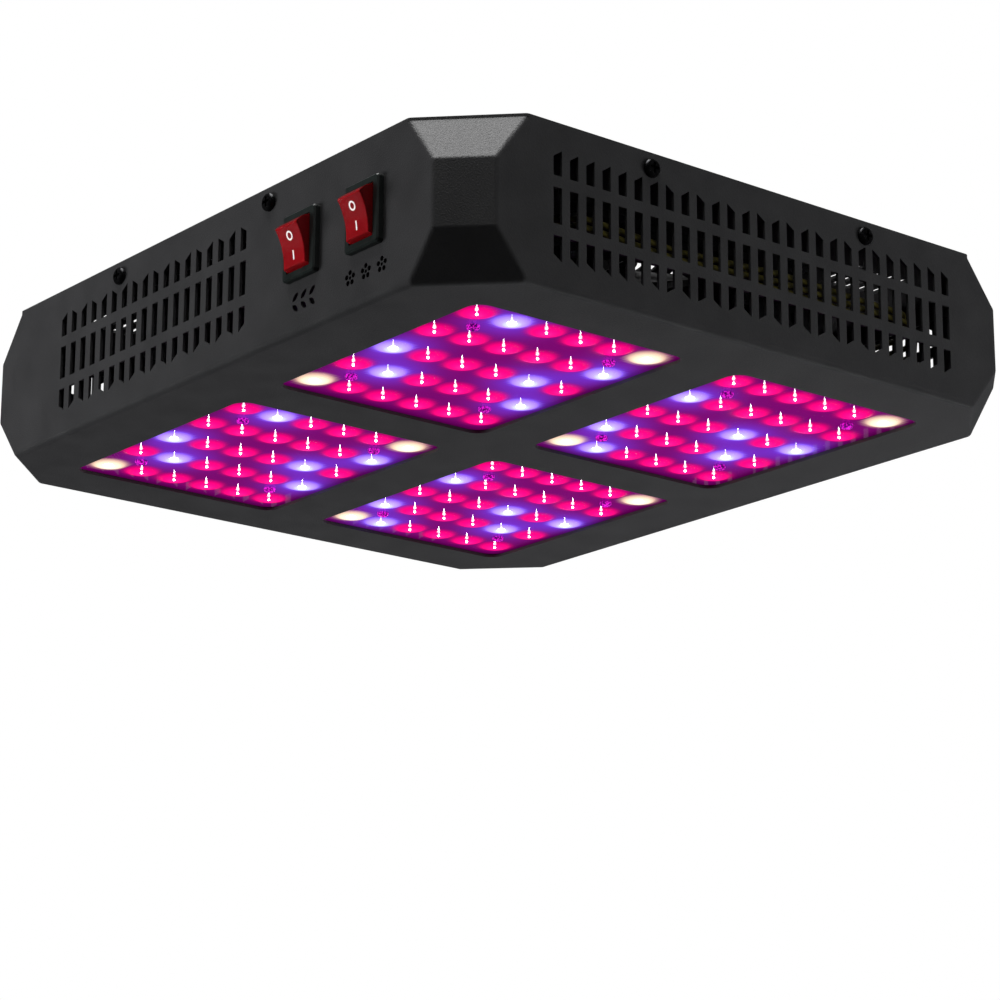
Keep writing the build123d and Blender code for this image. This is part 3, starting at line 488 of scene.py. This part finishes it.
# Colour of a pool of light from its middle outwards: share of its radius, sRGB hex.
POOLS = {
    "R": ((0.0, "FF2A96"), (0.3, "F8057F"), (0.55, "F00070"), (0.75, "C0005E"), (1.0, "760056")),
    "B": (
        (0.0, "F6FDFF"), (0.2, "DCEEFF"), (0.38, "BCA6FF"), (0.62, "A47EFA"), (0.78, "7848E8"),
        (1.0, "5426C4")),
    "W": ((0.0, "FFFBEE"), (0.35, "FFF0D8"), (0.6, "F4D8B4"), (0.8, "D8A294"), (1.0, "8A3C70")),
}
# Where a pool starts to fade into the ground and over what width, as shares of its radius.
FADES = {"R": (0.5, 0.5), "B": (0.66, 0.3), "W": (0.5, 0.5)}
# The ground between the pools: plain, at its bluest, at the plate's rim in painted shade, and on
# the plate's back.
GROUND = linear("6C005E")
BLUE_GROUND = linear("6634D8")
RIM_PAINTED_SHADE = linear("1C0018")
DIM_BACK = linear("3A0034")
# The most that blue lamps tint the ground, and how much of the ground's colour is left under the
# painted shade at the rim.
BLUE_SHARE = 0.9
RIM_SHARE = 0.35


def blend_colour(first, second, share):
    """Mixes two colours."""
    return tuple(a + (b - a) * share for a, b in zip(first, second))


def pool_colour(kind, share):
    """The colour of a pool at a share of its radius."""
    stops = POOLS[kind]
    for (low, first), (high, second) in zip(stops, stops[1:]):
        if share <= high:
            return blend_colour(linear(first), linear(second), (share - low) / (high - low))
    return linear(stops[-1][1])


def ease(share):
    """A smooth step from 0 to 1."""
    share = min(max(share, 0.0), 1.0)
    return share * share * (3 - 2 * share)


def light_at(point, lamps, settings, from_edge):
    """The plate's colour at a point.

    The ground is darkened toward the rim by painted shade and bluer near blue lamps; the nearest
    pool lies over it.
    """
    blue = 0.0
    nearest, kind = 1.0, "R"
    for middle, lamp in lamps:
        away = hypot(point.x - middle.x, point.y - middle.y)
        if lamp == "B":
            blue += exp(-(away / settings.blue_reach) ** 2)
        if away < nearest:
            nearest, kind = away, lamp
    ground = blend_colour(GROUND, BLUE_GROUND, min(blue, 1.0) * BLUE_SHARE)
    # Painted shade: the ground darkens toward the plate's rim.
    inner = ease(from_edge / settings.rim_shade)
    ground = blend_colour(RIM_PAINTED_SHADE, ground, RIM_SHARE + (1 - RIM_SHARE) * inner)
    share = nearest / (settings.pool_width / 2)
    start, width = FADES[kind]
    return blend_colour(pool_colour(kind, share), ground, ease((share - start) / width))


def rounded_outline(shape, low, high, corner, z):
    """A flat face with rounded corners between two corner points, at one height."""
    bmesh.ops.create_grid(shape, x_segments=1, y_segments=1, size=0.5)
    bmesh.ops.scale(shape, vec=(high.x - low.x, high.y - low.y, 1), verts=shape.verts)
    bmesh.ops.bevel(
        shape, geom=list(shape.verts), offset=corner, segments=6, profile=0.5,
        affect="VERTICES", material=-1)
    middle = ((low.x + high.x) / 2, (low.y + high.y) / 2, z)
    bmesh.ops.translate(shape, vec=middle, verts=shape.verts)


def raised_items(shape, faces, kind):
    """Extrudes faces in place and returns the new items of one kind."""
    made = bmesh.ops.extrude_face_region(shape, geom=faces)
    return [item for item in made["geom"] if isinstance(item, kind)]


def plate_slab(shape, low, high, front, thickness, cell):
    """The moulded plate: a rounded slab with a skirt, cut into cells that carry the glow."""
    rounded_outline(shape, low, high, SKIRT_CORNER, low.z + front)
    top = raised_items(shape, list(shape.faces), bmesh.types.BMFace)
    lifted = list({vert for face in top for vert in face.verts})
    bmesh.ops.translate(shape, vec=(0, 0, thickness), verts=lifted)
    ring = bmesh.ops.inset_region(
        shape, faces=top, thickness=SKIRT_WIDTH, use_even_offset=True)["faces"]
    skirt = raised_items(shape, ring, bmesh.types.BMFace)
    bmesh.ops.delete(shape, geom=ring, context="FACES_ONLY")
    lifted = list({vert for face in skirt for vert in face.verts})
    bmesh.ops.translate(shape, vec=(0, 0, high.z - low.z - front - thickness), verts=lifted)
    bmesh.ops.recalc_face_normals(shape, faces=shape.faces)
    across = ((Vector((1, 0, 0)), low.x, high.x), (Vector((0, 1, 0)), low.y, high.y))
    for axis, start, end in across:
        count = int((end - start) / cell)
        for number in range(1, count):
            everything = list(shape.verts) + list(shape.edges) + list(shape.faces)
            point = axis * (start + (end - start) * number / count)
            bmesh.ops.bisect_plane(
                shape, geom=everything, plane_co=point, plane_no=axis, dist=MERGE)


def dome_cap(settings, seat):
    """The mesh of one low dome about the upright axis, bulging down from its seat on the slab.

    The cap is open where it rests on the slab, and its faces look down and outwards.
    """
    radius, rise = settings.dome_width / 2, settings.dome_rise
    ball = (radius ** 2 + rise ** 2) / (2 * rise)
    reach = asin(radius / ball)
    profile = []
    for ring in range(DOME_RINGS + 1):
        turn = reach * ring / DOME_RINGS
        profile.append((ball * sin(turn), seat - rise + ball - ball * cos(turn)))
    shape = bmesh.new()
    lathe(shape, profile, DOME_STEPS)
    close_up(shape)
    shape.normal_update()
    upward = [face for face in shape.faces if face.normal.z > 0]
    bmesh.ops.reverse_faces(shape, faces=upward)
    return new_mesh(shape, "dome_cap")


def add_copies(shape, mesh, middles):
    """Joins one copy of a small mesh to the shape at each point."""
    for middle in middles:
        before = len(shape.verts)
        shape.from_mesh(mesh)
        shape.verts.ensure_lookup_table()
        bmesh.ops.translate(shape, vec=(middle.x, middle.y, 0), verts=shape.verts[before:])


def lit_plate(module, settings, material):
    """A finer lens plate that carries the light of each lamp in its own colours."""
    low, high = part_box(f"lens_plate_{module}")
    lamps = lamp_grid(module)
    shape = bmesh.new()
    plate_slab(shape, low, high, PLATE_FRONT, settings.plate_thickness, settings.glow_cell)
    cap = dome_cap(settings, low.z + PLATE_FRONT)
    add_copies(shape, cap, [middle for middle, _ in lamps])
    bpy.data.meshes.remove(cap)
    layer = shape.verts.layers.float_color.new("lamp_light")
    # The moulding's back stays dim, so that it doesn't show as a second pool behind each lamp.
    back = low.z + PLATE_FRONT + settings.plate_thickness / 2
    for vert in shape.verts:
        if vert.co.z > back:
            vert[layer] = DIM_BACK
            continue
        from_edge = min(
            vert.co.x - low.x, high.x - vert.co.x, vert.co.y - low.y, high.y - vert.co.y)
        vert[layer] = light_at(vert.co, lamps, settings, from_edge)
    piece = finish_piece(shape, f"lit_lens_plate_{module}", material)
    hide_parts(f"lens_plate_{module}")


# Each emitter's painted glint: the first word of its name, the sRGB hex of its fringe, and its
# share of the painted glint strength.
EMITTER_GLINTS = {
    "R": ("red", "FFB4DC", 1.0),
    "B": ("blue", "D8F0FF", 0.8),
    "W": ("white", "FFF6E2", 0.6),
}
# Its bead: radius in millimetres, and height as a share of its width.
BEADS = {"R": (0.5, 1.0), "B": (1.8, 0.36), "W": (2.2, 0.28)}
# Gaps in millimetres: dome to bead, and bead to the flame of a red lamp.
BEAD_GAP = 0.1
FLAME_GAP = 0.5
# Its flame from foot to tip: share of the flame's height, and half width in millimetres.
FLAMES = {
    "R": (
        (0.0, 0.0), (0.06, 0.4), (0.17, 0.68), (0.32, 0.54), (0.5, 0.3), (0.72, 0.12), (1.0, 0.0)),
    "B": ((0.0, 1.3), (0.12, 0.8), (0.25, 0.5), (0.45, 0.32), (0.7, 0.18), (1.0, 0.0)),
}


def painted_glint_mesh(kind, settings, seat):
    """The painted glint of one emitter: a glowing bead low in its dome, and a glowing flame drawn
    up behind it.
    """
    shape = bmesh.new()
    radius, flat = BEADS[kind]
    bmesh.ops.create_uvsphere(shape, u_segments=12, v_segments=6, radius=radius * MM)
    bmesh.ops.scale(shape, vec=(1, 1, flat), verts=shape.verts)
    foot = seat - settings.dome_rise + (radius * flat + BEAD_GAP) * MM
    bmesh.ops.translate(shape, vec=(0, 0, foot), verts=shape.verts)
    if kind == "R":
        foot += (radius * flat + FLAME_GAP) * MM
    if kind in FLAMES:
        height = settings.flame_height
        profile = [(width * MM, foot + height * rise) for rise, width in FLAMES[kind]]
        lathe(shape, profile, 8)
    close_up(shape)
    return new_mesh(shape, "spark")


def lamp_painted_glints(module, kind, settings, material):
    """All the painted glints of the emitters of one colour in a module."""
    middles = [middle for middle, lamp in lamp_grid(module) if lamp == kind]
    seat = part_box(f"lens_plate_{module}")[0].z + PLATE_FRONT
    spark = painted_glint_mesh(kind, settings, seat)
    shape = bmesh.new()
    add_copies(shape, spark, middles)
    bpy.data.meshes.remove(spark)
    piece = finish_piece(shape, f"{EMITTER_GLINTS[kind][0]}_painted_glints_{module}", material)
    # The plates already glow, so the painted glints are only seen and throw no second light.
    piece.visible_diffuse = False
    piece.visible_glossy = False


# ---------------------------------------- switch marks

def rocker_placement(switch):
    """Where a rocker's own axes stand: on its pivot line, turned to its rest position."""
    joint = next(j for j in frame["joints"] if j["child"] == f"switch_cap_{switch}")
    swing = radians(sum(joint["range_deg"]) / 2)
    face = Matrix(((1, 0, 0), (0, 0, -1), (0, 1, 0))).to_4x4()
    return Matrix.Translation(joint["pos_m"]) @ face @ Matrix.Rotation(swing, 4, "X")


def face_height(across):
    """Height of the rocker's hollow face above its pivot at a distance from its middle."""
    ball = (FACE_HALF ** 2 + FACE_DIP ** 2) / (2 * FACE_DIP)
    return FACE_RIM - FACE_DIP + ball - (ball ** 2 - across ** 2) ** 0.5


def switch_mark(switch, settings, material, ring):
    """A printed off ring near the top of a rocker's face, or an on bar near its foot."""
    shape = bmesh.new()
    if ring:
        bmesh.ops.create_circle(shape, segments=40, radius=settings.ring_width / 2, cap_ends=True)
        # The ring is a little taller than it is wide.
        bmesh.ops.scale(shape, vec=(0.94, 1, 1), verts=shape.verts)
        bmesh.ops.inset_region(
            shape, faces=shape.faces, thickness=settings.stroke, use_boundary=True,
            use_even_offset=True)
        inner = [face for face in shape.faces if len(face.verts) > 4]
        bmesh.ops.delete(shape, geom=inner, context="FACES")
    else:
        bmesh.ops.create_grid(shape, x_segments=2, y_segments=8, size=0.5)
        bmesh.ops.scale(
            shape, vec=(settings.stroke, settings.bar_length, 1), verts=shape.verts)
    lifted = raised_items(shape, list(shape.faces), bmesh.types.BMVert)
    bmesh.ops.translate(shape, vec=(0, 0, 2 * MARK_DEPTH), verts=lifted)
    offset = RING_AT if ring else BAR_AT
    bmesh.ops.translate(shape, vec=(0, offset, -MARK_DEPTH), verts=shape.verts)
    for vert in shape.verts:
        vert.co.z += face_height(vert.co.y)
    bmesh.ops.recalc_face_normals(shape, faces=shape.faces)
    shape.transform(rocker_placement(switch))
    name = f"off_ring_{switch}" if ring else f"on_bar_{switch}"
    finish_piece(shape, name, material, f"switch_cap_{switch}", smooth=False)


# ---------------------------------------- operators

def settings_of(context):
    """The three groups of settings kept on the scene."""
    scene = context.scene
    return scene.grow_lamps, scene.grow_switches, scene.grow_finish


class GROW_OT_case(bpy.types.Operator):
    """Powder-coats the tray and cover and plates the screws"""
    bl_idname = "grow.case"
    bl_label = "Case and screws"

    def execute(self, context):
        finish = settings_of(context)[2]
        paint(powder_coat_black(finish.coat), "housing", "top_cover")
        paint(black_zinc_screw(), "cover_screws")
        paint(bright_zinc(), "hanger_screws", "hanger_nuts", "fan_screws", "fan_nuts",
              "driver_screws", "heat_sink_posts", "heat_sink_screws",
              *[f"hanger_bracket_{k}" for k in QUARTERS])
        paint(painted_glow_screw(), "board_screws")
        return {"FINISHED"}


class GROW_OT_inside(bpy.types.Operator):
    """Finishes the heat sinks, boards, drivers and wires inside the case"""
    bl_idname = "grow.inside"
    bl_label = "Inside of the case"

    def execute(self, context):
        paint(extruded_aluminium(), *[f"heat_sink_{k}" for k in QUARTERS])
        paint(solder_mask_lit(), *[f"led_board_{k}" for k in QUARTERS])
        paint(lamp_phosphor(), *[f"led_emitters_{k}" for k in QUARTERS])
        paint(closed_foam(), *[f"lens_seal_{k}" for k in QUARTERS])
        paint(galvanised_case(), *[f"driver_{part}_{k}" for part in ("case", "lid") for k in PAIR])
        paint(driver_laminate(), *[f"driver_board_{k}" for k in PAIR])
        paint(braided_sleeve(), "wire_loom")
        return {"FINISHED"}


class GROW_OT_fans(bpy.types.Operator):
    """Finishes the two fans under the cover"""
    bl_idname = "grow.fans"
    bl_label = "Fans"

    def execute(self, context):
        parts = [f"fan_{part}_{k}" for part in ("frame", "rotor") for k in PAIR]
        paint(glass_filled_plastic(), *parts)
        return {"FINISHED"}


class GROW_OT_switches(bpy.types.Operator):
    """Finishes the switches and connectors and prints the on and off marks"""
    bl_idname = "grow.switches"
    bl_label = "Switches and connectors"

    def execute(self, context):
        _, switches, finish = settings_of(context)
        bodies = [f"switch_body_{k}" for k in PAIR]
        paint(nylon_black(), "inlet_body", "outlet_body", *bodies)
        paint(contact_brass(), "switch_terminals", "inlet_pins", "outlet_contacts")
        paint(rocker_polycarbonate(finish.rocker), *[f"switch_rocker_{k}" for k in PAIR])
        ink = printed_white()
        for switch in PAIR:
            switch_mark(switch, switches, ink, True)
            switch_mark(switch, switches, ink, False)
        return {"FINISHED"}


class GROW_OT_lamps(bpy.types.Operator):
    """Models the lit lens plates and a painted glint for every emitter"""
    bl_idname = "grow.lamps"
    bl_label = "Lit lens plates"

    def execute(self, context):
        lamps = settings_of(context)[0]
        acrylic = lit_acrylic(lamps.glow_strength)
        lights = {
            kind: painted_glint_light(f"{word}_emitter_painted_glint", fringe, lamps.painted_glint_strength * share)
            for kind, (word, fringe, share) in EMITTER_GLINTS.items()}
        for module in QUARTERS:
            lit_plate(module, lamps, acrylic)
            for kind, light in lights.items():
                lamp_painted_glints(module, kind, lamps, light)
        return {"FINISHED"}


# The studio floor, in metres: its radius, and how far it lies under the light's underside.
FLOOR_RADIUS = 14.0
FLOOR_DROP = 2.6

# Each softbox: name, direction it shines from, distance and width in metres, power in watts, and
# whether shiny surfaces mirror it.
SOFTBOXES = (
    ("key_softbox", (0.13, -0.28, 0.94), 0.9, 0.7, 12.0, True),
    ("left_softbox", (-0.75, -0.95, -0.15), 1.1, 0.6, 22.0, False),
    ("right_softbox", (1.0, 0.75, -0.1), 1.1, 0.6, 11.0, False),
    ("far_softbox", (-0.25, 0.8, -0.75), 1.2, 0.8, 30.0, False),
    ("back_softbox", (-0.75, 0.8, 0.5), 1.2, 0.8, 22.0, False),
)
# They all face the middle of the case, this high over its underside, in metres.
AIM_HEIGHT = 0.03
# White light from all round, for everything but the camera's own view of the background.
FILL_STRENGTH = 0.03

# The camera: its place in metres, the way it looks (degrees round from the front, up, and rolled),
# and its sensor and lens in millimetres.
CAMERA_PLACE = (0.905, -0.721, -0.3509)
CAMERA_TURN = (51.2, -15.91, 0.192)
CAMERA_SENSOR = 36.0
CAMERA_LENS = 112.57


class GROW_OT_stage(bpy.types.Operator):
    """Sets up the pale floor, the soft lights and the camera"""
    bl_idname = "grow.stage"
    bl_label = "Stage"

    def execute(self, context):
        finish = settings_of(context)[2]
        shape = bmesh.new()
        bmesh.ops.create_circle(shape, segments=96, radius=FLOOR_RADIUS, cap_ends=True)
        bmesh.ops.translate(shape, vec=(0, 0, -FLOOR_DROP), verts=shape.verts)
        mesh = new_mesh(shape, "studio_floor")
        mesh.materials.append(studio_plaster(finish.floor))
        floor = bpy.data.objects.new("studio_floor", mesh)
        context.scene.collection.objects.link(floor)
        # The floor shines for the camera alone, so that the case stays as dark as in a black room.
        floor.visible_diffuse = False
        floor.visible_glossy = False
        studio_lights()
        studio_camera()
        context.scene.view_settings.view_transform = "Standard"
        return {"FINISHED"}


def soft_light(name, direction, distance, size, power, mirrored):
    """A square softbox that faces the middle of the case from one direction."""
    lamp = bpy.data.lights.new(name, "AREA")
    lamp.shape = "SQUARE"
    lamp.size = size
    lamp.energy = power
    box = bpy.data.objects.new(name, lamp)
    away = Vector(direction).normalized()
    box.location = away * distance + Vector((0, 0, AIM_HEIGHT))
    box.rotation_euler = away.to_track_quat("Z", "Y").to_euler()
    box.visible_camera = False
    box.visible_glossy = mirrored
    bpy.context.scene.collection.objects.link(box)


def studio_lights():
    """The softboxes, a faint fill from all round, and a background that is white to the camera."""
    for softbox in SOFTBOXES:
        soft_light(*softbox)
    world = bpy.data.worlds.new("studio")
    world.use_nodes = True
    tree = world.node_tree
    tree.nodes.clear()
    fill = add(tree, "Background", Color=linear("FFFFFF"), Strength=FILL_STRENGTH)
    room = add(tree, "Background", Color=linear("FFFFFF"), Strength=1.0)
    seen = add(tree, "LightPath").outputs["Is Camera Ray"]
    mix = add(tree, "MixShader", _0=seen, _1=fill.outputs[0], _2=room.outputs[0])
    add(tree, "OutputWorld", Surface=mix.outputs[0])
    bpy.context.scene.world = world


def studio_camera():
    """A long lens below the near corner, looking up at the lit windows."""
    azimuth, elevation, roll = (radians(turn) for turn in CAMERA_TURN)
    back = Vector((sin(azimuth) * cos(elevation), -cos(azimuth) * cos(elevation), sin(elevation)))
    side = Vector((0, 0, 1)).cross(back).normalized()
    up = back.cross(side)
    right = side * cos(roll) + up * sin(roll)
    above = up * cos(roll) - side * sin(roll)
    camera = bpy.data.objects.new("studio_camera", bpy.data.cameras.new("studio_camera"))
    camera.data.sensor_width = CAMERA_SENSOR
    camera.data.lens = CAMERA_LENS
    turn = Matrix((right, above, back)).transposed().to_4x4()
    camera.matrix_world = Matrix.Translation(CAMERA_PLACE) @ turn
    bpy.context.scene.collection.objects.link(camera)
    bpy.context.scene.camera = camera


class GROW_PT_panel(bpy.types.Panel):
    """Lists the finishing steps of the plant light"""
    bl_idname = "GROW_PT_panel"
    bl_label = "Grow light"
    bl_space_type = "VIEW_3D"
    bl_region_type = "UI"
    bl_category = "Grow Light"

    def draw(self, context):
        for settings in settings_of(context):
            box = self.layout.box()
            for name in settings.bl_rna.properties.keys():
                if name not in ("rna_type", "name"):
                    box.prop(settings, name)
        for operator in STEPS:
            self.layout.operator(operator.bl_idname)


STEPS = (
    GROW_OT_stage, GROW_OT_case, GROW_OT_inside, GROW_OT_fans, GROW_OT_switches, GROW_OT_lamps)
CLASSES = (LampSettings, SwitchSettings, FinishSettings) + STEPS + (GROW_PT_panel,)


def register():
    for item in CLASSES:
        bpy.utils.register_class(item)
    bpy.types.Scene.grow_lamps = bpy.props.PointerProperty(type=LampSettings)
    bpy.types.Scene.grow_switches = bpy.props.PointerProperty(type=SwitchSettings)
    bpy.types.Scene.grow_finish = bpy.props.PointerProperty(type=FinishSettings)


def unregister():
    del bpy.types.Scene.grow_finish
    del bpy.types.Scene.grow_switches
    del bpy.types.Scene.grow_lamps
    for item in reversed(CLASSES):
        bpy.utils.unregister_class(item)


def main():
    register()
    bpy.ops.grow.stage()
    bpy.ops.grow.case()
    bpy.ops.grow.inside()
    bpy.ops.grow.fans()
    bpy.ops.grow.switches()
    bpy.ops.grow.lamps()


if __name__ == "__main__":
    main()
